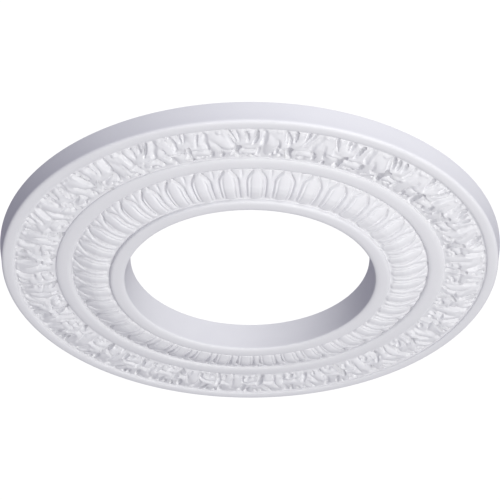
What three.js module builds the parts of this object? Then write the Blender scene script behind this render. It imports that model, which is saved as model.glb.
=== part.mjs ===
// Ceiling rose: one cast ring with a plain outer rim, a frieze of lobed acanthus leaves,
// a plain middle ring, a band of bottle-shaped eggs with raised tongues between them,
// and a plain inner rim round the central hole.
// Millimetres, +Z up. The back lies in the plane z = 0 and the carved face looks down (-Z).
// The origin is the middle of the hole in the plane of the ceiling.
import * as THREE from "three";

// Across the ring, from the outer edge inwards
const OUTER_RADIUS = 265;
const OUTER_WALL_DRAFT = 3;
const OUTER_RIM_WIDTH = 15.4;
const FRIEZE_WIDTH = 44.3;
const MIDDLE_RING_WIDTH = 16.7;
const EGG_BAND_WIDTH = 40.4;
const INNER_RIM_WIDTH = 15.7;
const INNER_WALL_DRAFT = 5;

// Depths below the ceiling
const OUTER_WALL_DEPTH = 16.6;
const OUTER_RIM_DEPTH = 21;
const OUTER_GROOVE_DEPTH = 18.6;
const FRIEZE_FIELD_DEPTH = 18;
const FRIEZE_GROOVE_DEPTH = 18.8;
const MIDDLE_RING_DEPTH = 21.8;
const EGG_GROOVE_DEPTH = 17.7;
const INNER_GROOVE_DEPTH = 25.6;
const INNER_RIM_DEPTH = 30;
const INNER_LIP_DEPTH = 26.4;

// Ornament, with its turns about Z in degrees
const LEAF_COUNT = 28;
const LEAF_RELIEF = 5;
const LEAF_SCALLOP = 2.2;
const LEAF_TURN = -3.2;
const EGG_COUNT = 40;
const EGG_RELIEF = 3.2;
const EGG_TURN = 2;
const TONGUE_RELIEF = 2.4;

// Shape of the rolls: 1 is a half ellipse, less is fuller; and the side that the crest of each
// leans to, where 1 is neither, less is inwards and more is outwards
const ROLL_FULLNESS = 0.72;
const OUTER_RIM_LEAN = 1;
const MIDDLE_RING_LEAN = 0.9;
const INNER_RIM_LEAN = 1.3;

// Facets
const RING_FACETS = 72;
const OUTER_RIM_FACETS = 4;
const MIDDLE_RING_FACETS = 4;
const INNER_RIM_FACETS = 4;

// One leaf takes one pitch of the frieze. Each column of points runs across the frieze.
// "outer" and "inner" are its places along the pitch at the two edges: the lobes fan out
// from the stem, and the bud between two leaves widens towards the middle of the ring.
const LEAF_COLUMNS = [
  { kind: "crease", outer: 0.0, inner: 0.2 },
  { kind: "lobe", outer: 0.06, inner: 0.23 },
  { kind: "lobe", outer: 0.15, inner: 0.26 },
  { kind: "crease", outer: 0.2, inner: 0.29 },
  { kind: "lobe", outer: 0.27, inner: 0.32 },
  { kind: "lobe", outer: 0.38, inner: 0.36 },
  { kind: "crease", outer: 0.44, inner: 0.39 },
  { kind: "lobe", outer: 0.5, inner: 0.42 },
  { kind: "lobe", outer: 0.62, inner: 0.47 },
  { kind: "crease", outer: 0.68, inner: 0.5 },
  { kind: "lobe", outer: 0.74, inner: 0.53 },
  { kind: "lobe", outer: 0.87, inner: 0.58 },
  { kind: "crease", outer: 0.92, inner: 0.64 },
  { kind: "bud", outer: 0.94, inner: 0.8 },
  { kind: "bud", outer: 0.98, inner: 1.02 },
];

// Rows from the outer edge of the frieze (0) to its inner edge (1). The other numbers are
// shares of the relief of the leaf, and "scallop" is the share of the scallop in that row.
const LEAF_ROWS = [
  { place: 0.1, lobe: 0.4, crease: 0.0, bud: 0.1, scallop: 1.0 },
  { place: 0.28, lobe: 0.75, crease: 0.25, bud: 0.4, scallop: 0.5 },
  { place: 0.52, lobe: 1.0, crease: 0.65, bud: 0.8, scallop: 0.2 },
  { place: 0.84, lobe: 0.5, crease: 0.2, bud: 0.6, scallop: 0.0 },
];

// One egg takes one pitch of its band. Rows run from the outer groove (0) to the inner
// groove (1). "bed" is how far the bed of the band has come from the depth of the outer
// groove to that of the inner one, "half" the half width of the egg in shares of the pitch,
// and "egg" and "tongue" the shares of their reliefs.
const EGG_ROWS = [
  { place: 0.07, bed: 0.1, half: 0.11, egg: 0.5, tongue: 0.5 },
  { place: 0.32, bed: 0.54, half: 0.33, egg: 0.95, tongue: 1.0 },
  { place: 0.68, bed: 1.02, half: 0.36, egg: 0.9, tongue: 0.8 },
  { place: 0.92, bed: 1.0, half: 0.34, egg: 0.7, tongue: 0.25 },
];
const EGG_NECK_HALF = 0.1;
const EGG_FOOT_HALF = 0.31;
const EGG_FLANK_PLACE = 0.62;
const EGG_FLANK_RISE = 0.8;

// Radii that follow from the widths
const OUTER_GROOVE_RADIUS = OUTER_RADIUS - OUTER_RIM_WIDTH;
const FRIEZE_GROOVE_RADIUS = OUTER_GROOVE_RADIUS - FRIEZE_WIDTH;
const EGG_GROOVE_RADIUS = FRIEZE_GROOVE_RADIUS - MIDDLE_RING_WIDTH;
const INNER_GROOVE_RADIUS = EGG_GROOVE_RADIUS - EGG_BAND_WIDTH;
const INNER_LIP_RADIUS = INNER_GROOVE_RADIUS - INNER_RIM_WIDTH;
const HOLE_RADIUS = INNER_LIP_RADIUS - INNER_WALL_DRAFT;

const TURN = 2 * Math.PI;

function point(angle, radius, depth) {
  return { angle, radius, depth };
}

// A plain ring of points.
function plainRing(radius, depth) {
  const ring = [];
  for (let i = 0; i < RING_FACETS; i += 1) {
    ring.push(point((i / RING_FACETS) * TURN, radius, depth));
  }
  return ring;
}

// The rings of a half-round roll between two feet, without the feet themselves.
function rollRings(fromRadius, fromDepth, toRadius, toDepth, crestDepth, facets, lean) {
  const rings = [];
  for (let i = 1; i < facets; i += 1) {
    const swing = (i / facets) * Math.PI;
    const level = Math.cos(swing);
    const reach = Math.sign(level) * Math.abs(level) ** ROLL_FULLNESS;
    const share = ((1 - reach) / 2) ** lean;
    const foot = fromDepth + (toDepth - fromDepth) * share;
    const depth = foot + (crestDepth - foot) * Math.sin(swing) ** ROLL_FULLNESS;
    rings.push(plainRing(fromRadius + (toRadius - fromRadius) * share, depth));
  }
  return rings;
}

// One row of points round the frieze. "share" is the place across it, "lift" the rise of
// each kind of column and "scallop" how far the lobes reach out past the creases.
function leafRing(share, baseDepth, lift, scallop) {
  const ring = [];
  const pitch = TURN / LEAF_COUNT;
  const start = THREE.MathUtils.degToRad(LEAF_TURN);
  for (let leaf = 0; leaf < LEAF_COUNT; leaf += 1) {
    for (const column of LEAF_COLUMNS) {
      const along = column.outer + (column.inner - column.outer) * share;
      const side = column.kind === "lobe" ? 1 : -1;
      const across = FRIEZE_WIDTH * share - side * LEAF_SCALLOP * scallop;
      const depth = baseDepth + LEAF_RELIEF * lift[column.kind];
      const angle = start + (leaf + along) * pitch;
      ring.push(point(angle, OUTER_GROOVE_RADIUS - across, depth));
    }
  }
  return ring;
}

const LEVEL = { lobe: 0, crease: 0, bud: 0 };

function leafRings() {
  return [
    leafRing(0, OUTER_GROOVE_DEPTH, LEVEL, 0),
    ...LEAF_ROWS.map((row) => leafRing(row.place, FRIEZE_FIELD_DEPTH, row, row.scallop)),
    leafRing(1, FRIEZE_GROOVE_DEPTH, LEVEL, 0),
  ];
}

// One row of points round the egg band: egg crest, flank, crease, tongue, crease, flank.
function eggRing(share, bed, half, eggRise, tongueRise) {
  const ring = [];
  const pitch = TURN / EGG_COUNT;
  const start = THREE.MathUtils.degToRad(EGG_TURN);
  const radius = EGG_GROOVE_RADIUS - EGG_BAND_WIDTH * share;
  const egg = bed + eggRise;
  const flank = bed + eggRise * EGG_FLANK_RISE;
  const tongue = bed + tongueRise;
  const near = half * EGG_FLANK_PLACE;
  for (let i = 0; i < EGG_COUNT; i += 1) {
    ring.push(point(start + i * pitch, radius, egg));
    ring.push(point(start + (i + near) * pitch, radius, flank));
    ring.push(point(start + (i + half) * pitch, radius, bed));
    ring.push(point(start + (i + 1 / 2) * pitch, radius, tongue));
    ring.push(point(start + (i + 1 - half) * pitch, radius, bed));
    ring.push(point(start + (i + 1 - near) * pitch, radius, flank));
  }
  return ring;
}

function eggRings() {
  const climb = INNER_GROOVE_DEPTH - EGG_GROOVE_DEPTH;
  return [
    eggRing(0, EGG_GROOVE_DEPTH, EGG_NECK_HALF, 0, 0),
    ...EGG_ROWS.map((row) => {
      const bed = EGG_GROOVE_DEPTH + climb * row.bed;
      return eggRing(row.place, bed, row.half, EGG_RELIEF * row.egg, TONGUE_RELIEF * row.tongue);
    }),
    eggRing(1, INNER_GROOVE_DEPTH, EGG_FOOT_HALF, 0, 0),
  ];
}

// Adds the points of a ring to the list of corners and returns their numbers.
function place(ring, corners) {
  const numbers = [];
  for (const p of ring) {
    numbers.push(corners.length / 3);
    corners.push(p.radius * Math.cos(p.angle), p.radius * Math.sin(p.angle), -p.depth);
  }
  return numbers;
}

function gapBetween(corners, a, b) {
  const dx = corners[3 * a] - corners[3 * b];
  const dy = corners[3 * a + 1] - corners[3 * b + 1];
  const dz = corners[3 * a + 2] - corners[3 * b + 2];
  return Math.hypot(dx, dy, dz);
}

// Joins two rings that have the same columns, each square cut along its shorter diagonal.
function joinColumns(a, b, corners, faces) {
  const count = a.length;
  for (let i = 0; i < count; i += 1) {
    const next = (i + 1) % count;
    if (gapBetween(corners, a[next], b[i]) <= gapBetween(corners, a[i], b[next])) {
      faces.push(a[i], b[i], a[next], a[next], b[i], b[next]);
    } else {
      faces.push(a[i], b[i], b[next], a[i], b[next], a[next]);
    }
  }
}

// Joins two rings with different numbers of points, going round both in step.
function joinInStep(outer, inner, a, b, faces) {
  let i = 0;
  let j = 0;
  while (i < a.length || j < b.length) {
    const nextOuter = angleOf(outer, i + 1);
    const nextInner = angleOf(inner, j + 1);
    if (j >= b.length || (i < a.length && nextOuter <= nextInner)) {
      faces.push(a[i % a.length], b[j % b.length], a[(i + 1) % a.length]);
      i += 1;
    } else {
      faces.push(a[i % a.length], b[j % b.length], b[(j + 1) % b.length]);
      j += 1;
    }
  }
}

function angleOf(ring, i) {
  const laps = Math.floor(i / ring.length);
  return ring[i % ring.length].angle + laps * TURN;
}

function roseRings() {
  return [
    plainRing(OUTER_RADIUS, 0),
    plainRing(OUTER_RADIUS - OUTER_WALL_DRAFT, OUTER_WALL_DEPTH),
    ...rollRings(
      OUTER_RADIUS - OUTER_WALL_DRAFT, OUTER_WALL_DEPTH,
      OUTER_GROOVE_RADIUS, OUTER_GROOVE_DEPTH, OUTER_RIM_DEPTH,
      OUTER_RIM_FACETS, OUTER_RIM_LEAN,
    ),
    ...leafRings(),
    ...rollRings(
      FRIEZE_GROOVE_RADIUS, FRIEZE_GROOVE_DEPTH,
      EGG_GROOVE_RADIUS, EGG_GROOVE_DEPTH, MIDDLE_RING_DEPTH,
      MIDDLE_RING_FACETS, MIDDLE_RING_LEAN,
    ),
    ...eggRings(),
    ...rollRings(
      INNER_GROOVE_RADIUS, INNER_GROOVE_DEPTH,
      INNER_LIP_RADIUS, INNER_LIP_DEPTH, INNER_RIM_DEPTH,
      INNER_RIM_FACETS, INNER_RIM_LEAN,
    ),
    plainRing(INNER_LIP_RADIUS, INNER_LIP_DEPTH),
    plainRing(HOLE_RADIUS, 0),
  ];
}

function roseGeometry() {
  const rings = roseRings();
  const corners = [];
  const faces = [];
  const numbers = rings.map((ring) => place(ring, corners));
  for (let i = 0; i < rings.length; i += 1) {
    const next = (i + 1) % rings.length;
    if (rings[i].length === rings[next].length) {
      joinColumns(numbers[i], numbers[next], corners, faces);
    } else {
      joinInStep(rings[i], rings[next], numbers[i], numbers[next], faces);
    }
  }
  const geometry = new THREE.BufferGeometry();
  geometry.setAttribute("position", new THREE.Float32BufferAttribute(corners, 3));
  geometry.setIndex(faces);
  geometry.computeVertexNormals();
  return geometry;
}

const primer = new THREE.MeshStandardMaterial({
  color: 0xe6e6ea,
  roughness: 0.6,
  metalness: 0,
});

const rose = new THREE.Mesh(roseGeometry(), primer);
rose.name = "ceiling_rose";

const root = new THREE.Group();
root.name = "ceiling_rose_part";
root.add(rose);

export default root;
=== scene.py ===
"""Ceiling rose: a cast ring, primed white, seen from below as it hangs on a ceiling."""

import math

import bmesh
import bpy
import numpy as np
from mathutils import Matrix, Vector


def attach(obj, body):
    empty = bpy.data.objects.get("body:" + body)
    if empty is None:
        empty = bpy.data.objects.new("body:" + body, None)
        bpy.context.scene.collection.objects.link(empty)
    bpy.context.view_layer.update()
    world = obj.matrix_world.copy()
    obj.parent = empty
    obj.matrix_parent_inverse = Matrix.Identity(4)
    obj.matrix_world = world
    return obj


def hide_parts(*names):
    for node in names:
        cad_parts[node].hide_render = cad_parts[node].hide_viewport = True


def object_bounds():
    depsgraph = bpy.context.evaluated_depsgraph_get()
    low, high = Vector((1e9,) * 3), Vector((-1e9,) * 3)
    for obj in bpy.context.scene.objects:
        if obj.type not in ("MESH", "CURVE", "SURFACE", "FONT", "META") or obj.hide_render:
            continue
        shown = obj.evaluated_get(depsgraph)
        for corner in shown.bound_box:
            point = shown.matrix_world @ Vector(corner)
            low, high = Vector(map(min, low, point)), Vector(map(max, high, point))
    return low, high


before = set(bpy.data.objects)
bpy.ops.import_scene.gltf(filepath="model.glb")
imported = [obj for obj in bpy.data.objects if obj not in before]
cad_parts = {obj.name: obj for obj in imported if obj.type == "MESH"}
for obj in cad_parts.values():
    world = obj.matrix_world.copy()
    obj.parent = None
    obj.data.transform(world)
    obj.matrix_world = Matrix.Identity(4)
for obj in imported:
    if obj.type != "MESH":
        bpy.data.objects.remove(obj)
cad_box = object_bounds()

MM = 0.001
TURN = 2 * math.pi

# The ring from the outer edge inwards, in millimetres, as in the part's source
OUTER_RADIUS = cad_box[1][0] / MM
OUTER_WALL_DRAFT = 3.0
OUTER_RIM_WIDTH = 15.4
FRIEZE_WIDTH = 44.3
MIDDLE_RING_WIDTH = 16.7
EGG_BAND_WIDTH = 40.4
INNER_RIM_WIDTH = 15.7
INNER_WALL_DRAFT = 5.0

OUTER_GROOVE_RADIUS = OUTER_RADIUS - OUTER_RIM_WIDTH
FRIEZE_GROOVE_RADIUS = OUTER_GROOVE_RADIUS - FRIEZE_WIDTH
EGG_GROOVE_RADIUS = FRIEZE_GROOVE_RADIUS - MIDDLE_RING_WIDTH
INNER_GROOVE_RADIUS = EGG_GROOVE_RADIUS - EGG_BAND_WIDTH
INNER_LIP_RADIUS = INNER_GROOVE_RADIUS - INNER_RIM_WIDTH
HOLE_RADIUS = INNER_LIP_RADIUS - INNER_WALL_DRAFT

# Depths below the ceiling
OUTER_WALL_DEPTH = 16.6
OUTER_RIM_DEPTH = 21.0
OUTER_GROOVE_DEPTH = 18.6
FRIEZE_FIELD_DEPTH = 18.0
FRIEZE_GROOVE_DEPTH = 18.8
MIDDLE_RING_DEPTH = 21.8
EGG_GROOVE_DEPTH = 17.7
INNER_GROOVE_DEPTH = 25.6
INNER_RIM_DEPTH = 30.0
INNER_LIP_DEPTH = 26.4

# Shape of the rolls, and the side that the crest of each leans to, as in the part's source
ROLL_FULLNESS = 0.72
ROLL_STEPS = 20
OUTER_RIM_LEAN = 1.0
MIDDLE_RING_LEAN = 0.9
INNER_RIM_LEAN = 1.3

# Ornament
LEAF_COUNT = 28
LEAF_TURN = math.radians(-3.2)
LEAF_PITCH = TURN / LEAF_COUNT
EGG_COUNT = 40
EGG_RELIEF = 3.2
EGG_TURN = math.radians(2.0)
EGG_PITCH = TURN / EGG_COUNT
TONGUE_RELIEF = 2.4

# How finely each piece is divided, the angle past which an edge is sharp, and how near to
# each other points are joined
RING_STEPS = 360
LEAF_STEPS = LEAF_COUNT * 60
LEAF_ROWS = 50
EGG_STEPS = EGG_COUNT * 44
EGG_ROWS = 46
STROKE_PARTS = 6
CORNER_ANGLE = math.radians(50)
MERGE_GAP = 0.01

# The strips of ornament sit in beds of the ring, and their edges reach a little under its rims
BED_COVER = 3.2
STRIP_SINK = 1.0
EDGE_TUCK = 0.8

# Carving of the frieze, in millimetres: the rise at its two edges, where the leaves start
# and reach their height beside the outer rim and the middle ring, the groove beside the
# outer rim, and the deepest that a gap goes below the field
EDGE_RISE = 0.7
OUTER_EDGE = (0.4, 4.2)
INNER_EDGE = (0.0, 2.6)
NOTCH_PLACE = 2.2
NOTCH_HALF = 1.0
NOTCH_DEPTH = 0.6
GAP_DEPTH = 2.8

# Gain of the forms and of the width of the cuts, and how softly the forms melt together
FORM_GAIN = 1.15
CUT_WIDTH = 1.15
MELT = 3

# Where the forms of a leaf start and end, in shares of the pitch from its gap
LEAF_START = -0.6
LEAF_END = 1.2

# How far the forms, the parts of the leaf and the cuts stray from the pattern, how deep the
# cuts are and how much that varies, and how the lines sway, in millimetres
LEAF_STRAY = 0.5
PART_STRAY = 2.0
PART_RISE_STRAY = 0.8
SLOT_STRAY = 1.6
OWN_STEP = 1.3
CUT_SHARE = 1.35
CUT_STRAY = 0.60
ACROSS_SWAY = 1.5
ALONG_SWAY = 1.05
SWAY_LENGTH = 6.0

# Waves in the swell of the leaves, in shares of the width: one to a leaf, and short ones
LONG_WAVE = 0.04
SHORT_WAVE = 0.024
SHORT_WAVES = 87

# Carving of the egg band: half widths in shares of the pitch, places in shares of the
# width of the band, depths in millimetres
NECK_HALF = 0.105
BODY_GAIN = 0.235
FOOT_LOSS = 0.02
SLOT_HALF = 0.045
NECK_END = 0.09
SHOULDER_SPAN = 0.28
FOOT_PLACE = 0.975
FOOT_CURVE = 0.09
FOOT_SPAN = 0.06
TIP_PLACE = 0.93
TIP_SPAN = 0.08
FORK_DEPTH = 1.7
PIT_DEPTH = 2.8
SLOT_DEPTH = 1.3

# Rib and hollow along the edge of an egg and the swell of its middle: place and half width
# in shares of its half width, and rise
EGG_RIBS = ((0.82, 0.11, 0.4), (0.62, 0.10, -0.8), (0.0, 0.40, 0.3))
RIB_RISE = EGG_RIBS[0][2]

# Camera, fitted to the outlines of the ring and its hole: the distance is in outer radii,
# the rise is its angle below the ceiling, and the tilt is the angle that it looks up at
LENS = 111.6
SENSOR_WIDTH = 36
VIEW_DISTANCE = 6.2564
VIEW_RISE = math.radians(34.1513)
VIEW_TILT = math.radians(34.593)

# Light and stage: colours of the soft lights, strength of the light that comes from all
# around and of the white behind the ring, and the floor in metres
WARM = (1.0, 1.0, 0.955)
COOL = (0.98, 0.99, 1.04)
AMBIENT = 0.27
BACKDROP = 1.05
FLOOR_HEIGHT = -3.0
FLOOR_HALF = 4.0


def roll(from_foot, to_foot, crest_depth, lean):
    """Points of a full roll from one foot to the other, its crest leaning inwards."""
    points = []
    for i in range(ROLL_STEPS + 1):
        swing = math.pi * i / ROLL_STEPS
        level = math.cos(swing)
        reach = math.copysign(abs(level) ** ROLL_FULLNESS, level)
        share = ((1 - reach) / 2) ** lean
        foot = from_foot[1] + (to_foot[1] - from_foot[1]) * share
        depth = foot + (crest_depth - foot) * max(math.sin(swing), 0) ** ROLL_FULLNESS
        points.append((from_foot[0] + (to_foot[0] - from_foot[0]) * share, depth))
    return points


def spin_ring(name, profile, steps):
    """A closed ring from a closed profile of (radius, depth) points in millimetres."""
    shape = bmesh.new()
    corners = [shape.verts.new((radius * MM, 0, -depth * MM)) for radius, depth in profile]
    edges = []
    for i, corner in enumerate(corners):
        edges.append(shape.edges.new((corner, corners[(i + 1) % len(corners)])))
    bmesh.ops.spin(
        shape, geom=corners + edges, cent=(0, 0, 0), axis=(0, 0, 1),
        angle=TURN, steps=steps, use_merge=True,
    )
    bmesh.ops.recalc_face_normals(shape, faces=shape.faces)
    mesh = bpy.data.meshes.new(name)
    shape.to_mesh(mesh)
    shape.free()
    mesh.shade_smooth()
    mesh.set_sharp_from_angle(angle=CORNER_ANGLE)
    piece = bpy.data.objects.new(name, mesh)
    bpy.context.scene.collection.objects.link(piece)
    return piece


def carve_band(name, outer, inner, steps, rows, back_depth, relief):
    """A closed strip round the ring, its face at the depth that relief(radius, angle) gives."""
    shape = bmesh.new()
    bmesh.ops.create_grid(shape, x_segments=steps, y_segments=rows, size=1)
    mesh = bpy.data.meshes.new(name)
    shape.to_mesh(mesh)
    places = np.empty(len(mesh.vertices) * 3)
    mesh.vertices.foreach_get("co", places)
    places = places.reshape(-1, 3)
    angle = places[:, 0] * math.pi
    radius = inner + (outer - inner) * (places[:, 1] + 1) / 2
    places[:, 0] = radius * np.cos(angle) * MM
    places[:, 1] = radius * np.sin(angle) * MM
    places[:, 2] = -relief(radius, angle) * MM
    mesh.vertices.foreach_set("co", places.ravel())
    shape.clear()
    shape.from_mesh(mesh)
    bmesh.ops.remove_doubles(shape, verts=shape.verts, dist=MERGE_GAP * MM)
    rims = [edge for edge in shape.edges if edge.is_boundary]
    sunk = bmesh.ops.extrude_edge_only(shape, edges=rims)["geom"]
    for corner in sunk:
        if isinstance(corner, bmesh.types.BMVert):
            corner.co.z = -back_depth * MM
    rims = [edge for edge in shape.edges if edge.is_boundary]
    bmesh.ops.bridge_loops(shape, edges=rims)
    bmesh.ops.recalc_face_normals(shape, faces=shape.faces)
    shape.to_mesh(mesh)
    shape.free()
    mesh.shade_smooth()
    mesh.set_sharp_from_angle(angle=CORNER_ANGLE)
    piece = bpy.data.objects.new(name, mesh)
    bpy.context.scene.collection.objects.link(piece)
    return piece


def blend_step(value, low, high):
    """Goes smoothly from 0 at low to 1 at high."""
    share = np.clip((value - low) / (high - low), 0, 1)
    return share * share * (3 - 2 * share)


def bell(off, half):
    """A bell curve, 1 in the middle and 0.37 at half."""
    return np.exp(-(off / half) ** 2)


def bend(points, t):
    """Point of a line bent through three points, or value of a size that changes along it."""
    return (1 - t) ** 2 * points[0] + 2 * t * (1 - t) * points[1] + t * t * points[2]


def stroke(x, y, points, widths, heights, power):
    """Height of a rounded finger along a bent line of three points.

    widths and heights are its half width and height at its start, middle and end.
    """
    xs, ys = zip(*points)
    best = np.full(x.shape, 1e9)
    lift = np.zeros(x.shape)
    for i in range(STROKE_PARTS):
        t = i / STROKE_PARTS
        step = 1 / STROKE_PARTS
        ax, ay = bend(xs, t), bend(ys, t)
        dx, dy = bend(xs, t + step) - ax, bend(ys, t + step) - ay
        share = np.clip(((x - ax) * dx + (y - ay) * dy) / (dx * dx + dy * dy + 1e-9), 0, 1)
        width = bend(widths, t + share * step)
        away = np.hypot(x - ax - share * dx, y - ay - share * dy) / width
        nearer = away < best
        best = np.where(nearer, away, best)
        lift = np.where(nearer, bend(heights, t + share * step), lift)
    return lift * np.clip(1 - best * best, 0, 1) ** power


# Rise of the leaves above the field, from the outer groove to the inner one
LEAF_SWELL = (
    (0.00, 0.10, 0.26, 0.44, 0.60, 0.80, 0.92, 1.00),
    (0.60, 0.60, 1.70, 2.70, 2.40, 1.70, 1.10, 0.80),
)

# The forms of one leaf. Each line gives three points along its middle, as shares of the
# pitch from the gap and of the width from the outer groove, its half widths and its
# heights in millimetres at the start, the bend and the end, how square its sides are, and
# the part of the leaf that it moves with: 0 fan, 1 lobe, 2 scroll, 3 lower leaf, 4 buds.
LEAF_FORMS = [
    # body of the fan, and the tips of its fingers at the outer groove
    (((-0.20, 0.38), (0.06, 0.30), (0.34, 0.38)), (7.0, 9.6, 7.2), (1.2, 1.8, 1.2), 0.8, 0),
    (((0.02, 0.56), (0.08, 0.46), (0.14, 0.38)), (4.8, 6.4, 5.6), (1.6, 2.2, 1.6), 0.8, 0),
    (((-0.17, 0.26), (-0.20, 0.19), (-0.22, 0.13)), (3.8, 4.4, 3.8), (1.2, 1.5, 1.2), 0.7, 0),
    (((-0.05, 0.23), (-0.06, 0.16), (-0.065, 0.10)), (3.6, 4.2, 3.8), (1.4, 1.7, 1.4), 0.7, 0),
    (((0.10, 0.21), (0.10, 0.15), (0.10, 0.09)), (3.6, 4.2, 3.8), (1.4, 1.8, 1.4), 0.7, 0),
    (((0.24, 0.23), (0.25, 0.16), (0.265, 0.10)), (3.6, 4.2, 3.8), (1.4, 1.7, 1.4), 0.7, 0),
    (((0.36, 0.30), (0.39, 0.22), (0.42, 0.15)), (4.2, 4.8, 4.2), (1.2, 1.6, 1.2), 0.7, 0),
    # the broad smooth leaf beside the fan, from groove to groove
    (((0.50, 0.30), (0.62, 0.50), (0.60, 0.80)), (5.6, 8.0, 5.2), (1.6, 2.4, 1.4), 0.8, 1),
    (((0.62, 0.18), (0.74, 0.28), (0.80, 0.52)), (6.4, 8.4, 6.2), (1.2, 2.2, 2.0), 0.8, 1),
    (((0.84, 0.50), (0.84, 0.68), (0.76, 0.84)), (4.8, 6.4, 4.4), (1.4, 2.2, 1.0), 0.8, 3),
    # the rolled lower edge of the fan, in two parts
    (((-0.30, 0.46), (-0.18, 0.54), (-0.02, 0.55)), (2.8, 4.4, 3.8), (1.0, 1.9, 1.7), 0.8, 0),
    (((0.14, 0.52), (0.26, 0.57), (0.42, 0.50)), (3.8, 4.8, 3.6), (1.7, 2.1, 1.0), 0.8, 0),
    # the scroll below the fan and the stem to its left
    (((0.20, 0.74), (0.30, 0.68), (0.38, 0.76)), (4.4, 5.4, 4.6), (2.0, 2.6, 1.8), 0.7, 2),
    (((0.10, 0.66), (0.06, 0.76), (0.10, 0.86)), (3.4, 4.8, 3.0), (1.2, 2.0, 0.8), 0.8, 2),
    (((-0.14, 0.70), (-0.10, 0.76), (-0.12, 0.84)), (4.0, 4.8, 3.6), (1.4, 1.8, 0.8), 0.8, 4),
    # buds beside the inner groove and berries beside the outer groove
    (((0.22, 0.90), (0.23, 0.90), (0.24, 0.90)), (2.6, 2.6, 2.6), (1.4, 1.4, 1.4), 0.7, 4),
    (((0.37, 0.89), (0.38, 0.89), (0.39, 0.89)), (2.4, 2.4, 2.4), (1.4, 1.4, 1.4), 0.7, 4),
    (((-0.31, 0.09), (-0.31, 0.09), (-0.30, 0.09)), (2.6, 2.6, 2.6), (1.7, 1.7, 1.7), 0.7, 0),
    (((0.52, 0.09), (0.52, 0.09), (0.53, 0.09)), (2.6, 2.6, 2.6), (1.6, 1.6, 1.6), 0.7, 0),
]

# Lines cut into the leaf, given in the same way, with depths for heights
LEAF_CUTS = [
    # slots between the fingers
    (((-0.14, 0.09), (-0.13, 0.18), (-0.07, 0.38)), (1.6, 1.9, 1.1), (5.0, 5.5, 1.4), 0.9, 0),
    (((0.02, 0.08), (0.025, 0.17), (0.05, 0.31)), (1.6, 1.9, 1.1), (5.0, 5.5, 1.2), 0.9, 0),
    (((0.18, 0.08), (0.18, 0.16), (0.17, 0.28)), (1.6, 1.9, 1.1), (5.0, 5.5, 1.2), 0.9, 0),
    (((0.35, 0.10), (0.33, 0.23), (0.26, 0.42)), (1.6, 2.1, 1.2), (5.0, 5.8, 1.7), 0.9, 0),
    # the soft hollow between the fan and the smooth leaf
    (((0.50, 0.06), (0.47, 0.24), (0.44, 0.46)), (3.0, 4.2, 3.0), (1.4, 2.9, 2.2), 1.3, 1),
    # the deep gap beside the scroll, and the shadow lines under the fan
    (((0.05, 0.52), (-0.07, 0.72), (0.04, 0.94)), (2.0, 3.6, 2.4), (5.0, 8.0, 6.0), 0.6, 2),
    (((-0.30, 0.58), (-0.18, 0.63), (-0.04, 0.63)), (1.2, 1.8, 1.2), (0.5, 2.4, 1.4), 1.0, 0),
    (((0.12, 0.61), (0.26, 0.64), (0.40, 0.58)), (1.1, 1.6, 1.1), (1.0, 2.2, 0.7), 1.0, 0),
    # the slot of the scroll and the hollow to its right
    (((0.24, 0.84), (0.29, 0.77), (0.33, 0.80)), (1.5, 2.0, 1.5), (2.4, 3.6, 2.6), 0.9, 2),
    (((0.46, 0.60), (0.49, 0.72), (0.44, 0.84)), (1.4, 2.2, 1.6), (1.2, 3.8, 2.4), 0.9, 2),
    # small holes, and the soft veins of the smooth leaf
    (((0.68, 0.88), (0.69, 0.85), (0.70, 0.80)), (1.9, 2.2, 1.5), (2.9, 3.6, 2.2), 0.9, 3),
    (((0.90, 0.86), (0.91, 0.84), (0.92, 0.82)), (2.0, 2.4, 2.0), (3.1, 3.8, 3.1), 0.9, 3),
    (((0.66, 0.34), (0.72, 0.50), (0.70, 0.76)), (1.4, 2.0, 1.5), (0.5, 2.2, 1.9), 1.0, 1),
    (((0.84, 0.10), (0.90, 0.24), (0.92, 0.46)), (2.0, 3.0, 2.2), (1.2, 2.6, 1.7), 1.1, 1),
]


def stray(leaf, step, own):
    """A share from -1 to 1 that changes from leaf to leaf. The steps only have to differ."""
    return np.sin(leaf * step + own)


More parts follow.
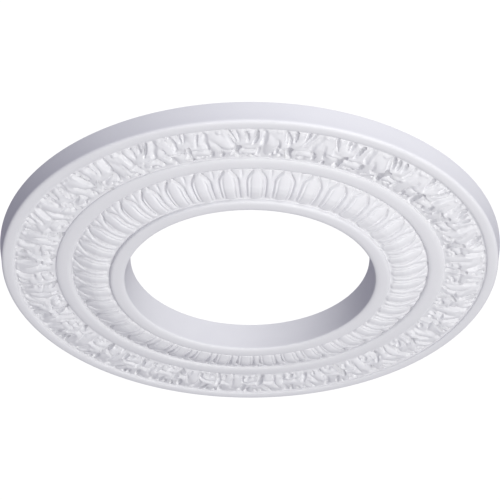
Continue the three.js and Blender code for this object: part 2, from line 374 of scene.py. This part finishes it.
def leaf_relief(radius, angle):
    """Depth of the frieze: one leaf to a pitch, each a little different from the next."""
    across = OUTER_GROOVE_RADIUS - radius
    pitch = LEAF_PITCH * (OUTER_GROOVE_RADIUS - FRIEZE_WIDTH / 2)
    turns = (angle - LEAF_TURN) / LEAF_PITCH
    number = np.floor(turns)
    height = np.zeros(radius.shape)
    cut = np.zeros(radius.shape)
    for shift in (-1, 0, 1):
        along = (turns - number - shift) * pitch
        near = (along > LEAF_START * pitch) & (along < LEAF_END * pitch)
        leaf = (number[near] + shift) % LEAF_COUNT
        x = along[near] + ACROSS_SWAY * stray(leaf, 2.2, across[near] / SWAY_LENGTH)
        y = across[near] + ALONG_SWAY * stray(leaf, 1.6, along[near] / SWAY_LENGTH)
        for i, (points, widths, heights, power, part) in enumerate(LEAF_FORMS + LEAF_CUTS):
            own = i * OWN_STEP
            own_x = x - PART_STRAY * stray(leaf, 2.4, part * 1.9)
            own_x = own_x - LEAF_STRAY * stray(leaf, 1.7, own)
            own_y = y - PART_RISE_STRAY * stray(leaf, 3.7, part * 2.7)
            line = [(px * pitch, py * FRIEZE_WIDTH) for px, py in points]
            if i < len(LEAF_FORMS):
                height[near] += stroke(own_x, own_y, line, widths, heights, power) ** MELT
            else:
                own_x = own_x - SLOT_STRAY * stray(leaf, 1.9, own * 2)
                own_y = own_y - SLOT_STRAY * stray(leaf, 2.1, own)
                wide = [width * CUT_WIDTH for width in widths]
                lift = stroke(own_x, own_y, line, wide, heights, power)
                lift = lift * np.maximum(CUT_SHARE + CUT_STRAY * stray(leaf, 2.9, own), 0)
                cut[near] = np.maximum(cut[near], lift)
    wave = LONG_WAVE * np.sin(TURN * turns) + SHORT_WAVE * np.sin(SHORT_WAVES * angle)
    height = FORM_GAIN * height ** (1 / MELT)
    swell = np.interp(across / FRIEZE_WIDTH + wave, *LEAF_SWELL)
    rise = swell + height - cut
    within = blend_step(across, *OUTER_EDGE)
    within = np.minimum(within, blend_step(FRIEZE_WIDTH - across, *INNER_EDGE))
    rise = np.maximum(rise, -GAP_DEPTH) * within + EDGE_RISE * (1 - within)
    return FRIEZE_FIELD_DEPTH + rise - NOTCH_DEPTH * bell(across - NOTCH_PLACE, NOTCH_HALF)


# Rise of the bed of the egg band, from the outer groove to the inner one
EGG_BED = (
    (0.00, 0.15, 0.36, 0.50, 0.64, 0.80, 1.00),
    (0.00, 0.23, 0.62, 0.89, 1.01, 1.04, 1.00),
)


def egg_relief(radius, angle):
    """Depth of the egg band: bottle-shaped eggs with raised tongues between them."""
    share = (EGG_GROOVE_RADIUS - radius) / EGG_BAND_WIDTH
    turns = (angle - EGG_TURN) / EGG_PITCH
    off = np.abs(turns - np.round(turns))
    climb = INNER_GROOVE_DEPTH - EGG_GROOVE_DEPTH
    bed = EGG_GROOVE_DEPTH + climb * np.interp(share, *EGG_BED)
    ends = 0.80 * blend_step(share, 0, 0.05) + 0.20 * blend_step(share, 0.04, 0.26)
    ends = ends * (1 - 0.30 * blend_step(share, 0.60, 0.94))

    # the egg: a neck, a round shoulder, a body with a rib along its edge and a round foot
    shoulder = np.clip((share - NECK_END) / SHOULDER_SPAN, 0, 1)
    half = NECK_HALF + BODY_GAIN * np.sin(shoulder * math.pi / 2)
    half = half - FOOT_LOSS * blend_step(share, 0.84, 0.97)
    inside = np.clip(off / half, 0, 1)
    egg = (EGG_RELIEF - RIB_RISE) * np.sqrt(np.clip(1 - inside ** 3, 0, 1))
    body = blend_step(share, 0.16, 0.32)
    for place, width, rise in EGG_RIBS:
        egg += body * rise * bell(inside - place, width)
    foot = FOOT_PLACE - FOOT_CURVE * inside ** 2
    egg *= np.sqrt(np.clip((foot - share) / FOOT_SPAN, 0, 1))

    # the tongue, forked where it starts
    room = np.clip((off - half - SLOT_HALF) / (0.5 - half - SLOT_HALF), 0, 1)
    tongue = TONGUE_RELIEF * np.sqrt(np.clip(1 - (1 - room) ** 3, 0, 1))
    fork = blend_step(share, 0, 0.05) * (1 - blend_step(share, 0.10, 0.30))
    tongue -= FORK_DEPTH * fork * bell(0.5 - off, 0.04)
    tongue *= np.sqrt(np.clip((TIP_PLACE - share) / TIP_SPAN, 0, 1))

    # the hollow in front of the neck and the slot beside the egg
    pit = PIT_DEPTH * bell(off, 0.14) * bell(share - 0.03, 0.04)
    slot = blend_step(share, 0.03, 0.14) * (1 - blend_step(share, 0.45, 0.75))
    slot = SLOT_DEPTH * slot * bell(off - half - 0.02, 0.03)
    return bed + np.where(off < half, egg, tongue) * ends - pit - slot


def body_profile():
    """Outline of the plain ring, with the beds of the frieze and egg band left lower."""
    outer_foot = (OUTER_GROOVE_RADIUS, OUTER_GROOVE_DEPTH)
    frieze_foot = (FRIEZE_GROOVE_RADIUS, FRIEZE_GROOVE_DEPTH)
    egg_foot = (EGG_GROOVE_RADIUS, EGG_GROOVE_DEPTH)
    inner_foot = (INNER_GROOVE_RADIUS, INNER_GROOVE_DEPTH)
    lip = (INNER_LIP_RADIUS, INNER_LIP_DEPTH)
    wall = (OUTER_RADIUS - OUTER_WALL_DRAFT, OUTER_WALL_DEPTH)
    profile = [(OUTER_RADIUS, 0.0), (OUTER_RADIUS - OUTER_WALL_DRAFT / 2, OUTER_WALL_DEPTH / 2)]
    profile += roll(wall, outer_foot, OUTER_RIM_DEPTH, OUTER_RIM_LEAN)
    profile.append((outer_foot[0], FRIEZE_FIELD_DEPTH - BED_COVER))
    profile.append((frieze_foot[0], FRIEZE_FIELD_DEPTH - BED_COVER))
    profile += roll(frieze_foot, egg_foot, MIDDLE_RING_DEPTH, MIDDLE_RING_LEAN)
    profile.append((egg_foot[0], EGG_GROOVE_DEPTH - BED_COVER))
    profile.append((inner_foot[0], EGG_GROOVE_DEPTH - BED_COVER))
    profile += roll(inner_foot, lip, INNER_RIM_DEPTH, INNER_RIM_LEAN)
    profile += [(HOLE_RADIUS + INNER_WALL_DRAFT / 2, INNER_LIP_DEPTH / 2), (HOLE_RADIUS, 0.0)]
    return profile


def primer():
    """Factory primer: matt white, with a faint mottle and the slight grain of a casting."""
    material = bpy.data.materials.new("white_primer")
    material.use_nodes = True
    nodes = material.node_tree.nodes
    links = material.node_tree.links
    shader = nodes["Principled BSDF"]
    shader.inputs["Roughness"].default_value = 0.55
    place = nodes.new("ShaderNodeTexCoord")
    mottle = nodes.new("ShaderNodeTexNoise")
    mottle.inputs["Scale"].default_value = 26
    mottle.inputs["Detail"].default_value = 4
    tint = nodes.new("ShaderNodeMix")
    tint.data_type = "RGBA"
    tint.inputs["A"].default_value = (0.80, 0.80, 0.825, 1)
    tint.inputs["B"].default_value = (0.84, 0.84, 0.86, 1)
    grain = nodes.new("ShaderNodeTexNoise")
    grain.inputs["Scale"].default_value = 900
    grain.inputs["Detail"].default_value = 3
    bump = nodes.new("ShaderNodeBump")
    bump.inputs["Strength"].default_value = 0.08
    bump.inputs["Distance"].default_value = 0.0004
    links.new(place.outputs["Object"], mottle.inputs["Vector"])
    links.new(place.outputs["Object"], grain.inputs["Vector"])
    links.new(mottle.outputs["Fac"], tint.inputs["Factor"])
    links.new(tint.outputs["Result"], shader.inputs["Base Color"])
    links.new(grain.outputs["Fac"], bump.inputs["Height"])
    links.new(bump.outputs["Normal"], shader.inputs["Normal"])
    return material


def area_light(name, place, size, power, colour):
    """A large soft light that looks at the middle of the ring."""
    data = bpy.data.lights.new(name, "AREA")
    data.shape = "DISK"
    data.size = size
    data.energy = power
    data.color = colour
    lamp = bpy.data.objects.new(name, data)
    bpy.context.scene.collection.objects.link(lamp)
    lamp.location = place
    aim = -Vector(place)
    lamp.rotation_euler = aim.to_track_quat("-Z", "Y").to_euler()
    return lamp


def studio_world():
    """White to the eye, and a dimmer even light on the ring."""
    world = bpy.data.worlds.new("studio")
    bpy.context.scene.world = world
    world.use_nodes = True
    nodes = world.node_tree.nodes
    links = world.node_tree.links
    nodes.clear()
    out = nodes.new("ShaderNodeOutputWorld")
    seen = nodes.new("ShaderNodeBackground")
    seen.inputs["Color"].default_value = (1, 1, 1, 1)
    seen.inputs["Strength"].default_value = BACKDROP
    cast = nodes.new("ShaderNodeBackground")
    cast.inputs["Color"].default_value = (0.90, 0.88, 1.10, 1)
    cast.inputs["Strength"].default_value = AMBIENT
    ray = nodes.new("ShaderNodeLightPath")
    mix = nodes.new("ShaderNodeMixShader")
    links.new(ray.outputs["Is Camera Ray"], mix.inputs["Fac"])
    links.new(cast.outputs["Background"], mix.inputs[1])
    links.new(seen.outputs["Background"], mix.inputs[2])
    links.new(mix.outputs["Shader"], out.inputs["Surface"])


def studio_floor():
    """A plain pale floor far below the ring."""
    shape = bmesh.new()
    bmesh.ops.create_grid(shape, x_segments=1, y_segments=1, size=FLOOR_HALF)
    bmesh.ops.translate(shape, verts=shape.verts, vec=(0, 0, FLOOR_HEIGHT))
    mesh = bpy.data.meshes.new("floor")
    shape.to_mesh(mesh)
    shape.free()
    floor = bpy.data.objects.new("floor", mesh)
    bpy.context.scene.collection.objects.link(floor)
    material = bpy.data.materials.new("pale_floor")
    material.use_nodes = True
    shader = material.node_tree.nodes["Principled BSDF"]
    shader.inputs["Base Color"].default_value = (0.8, 0.8, 0.8, 1)
    shader.inputs["Roughness"].default_value = 0.8
    mesh.materials.append(material)


def photo_camera():
    """Stands below and in front of the ring and looks up at it."""
    data = bpy.data.cameras.new("photo")
    data.lens = LENS
    data.sensor_width = SENSOR_WIDTH
    camera = bpy.data.objects.new("photo", data)
    bpy.context.scene.collection.objects.link(camera)
    away = VIEW_DISTANCE * OUTER_RADIUS * MM
    camera.location = (0, -away * math.cos(VIEW_RISE), -away * math.sin(VIEW_RISE))
    camera.rotation_euler = (math.pi / 2 + VIEW_TILT, 0, 0)
    bpy.context.scene.camera = camera


photo_camera()
studio_world()
studio_floor()
area_light("key", (1.36, -1.62, -2.25), 1.2, 49.5, WARM)
area_light("front", (0.79, -2.95, 0.25), 2.0, 26, COOL)
area_light("below", (0.1, -0.6, -2.6), 3.2, 20, WARM)
bpy.context.scene.view_settings.view_transform = "Standard"

finish = primer()

ring = spin_ring("cast_ring", body_profile(), RING_STEPS)

leaves = carve_band(
    "acanthus_frieze", OUTER_GROOVE_RADIUS + EDGE_TUCK, FRIEZE_GROOVE_RADIUS - EDGE_TUCK,
    LEAF_STEPS, LEAF_ROWS, FRIEZE_FIELD_DEPTH - BED_COVER - STRIP_SINK, leaf_relief,
)
eggs = carve_band(
    "egg_and_tongue_band", EGG_GROOVE_RADIUS + EDGE_TUCK, INNER_GROOVE_RADIUS - EDGE_TUCK,
    EGG_STEPS, EGG_ROWS, EGG_GROOVE_DEPTH - BED_COVER - STRIP_SINK, egg_relief,
)

for piece in (ring, leaves, eggs):
    piece.data.materials.append(finish)
    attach(piece, "root")
    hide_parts("ceiling_rose")
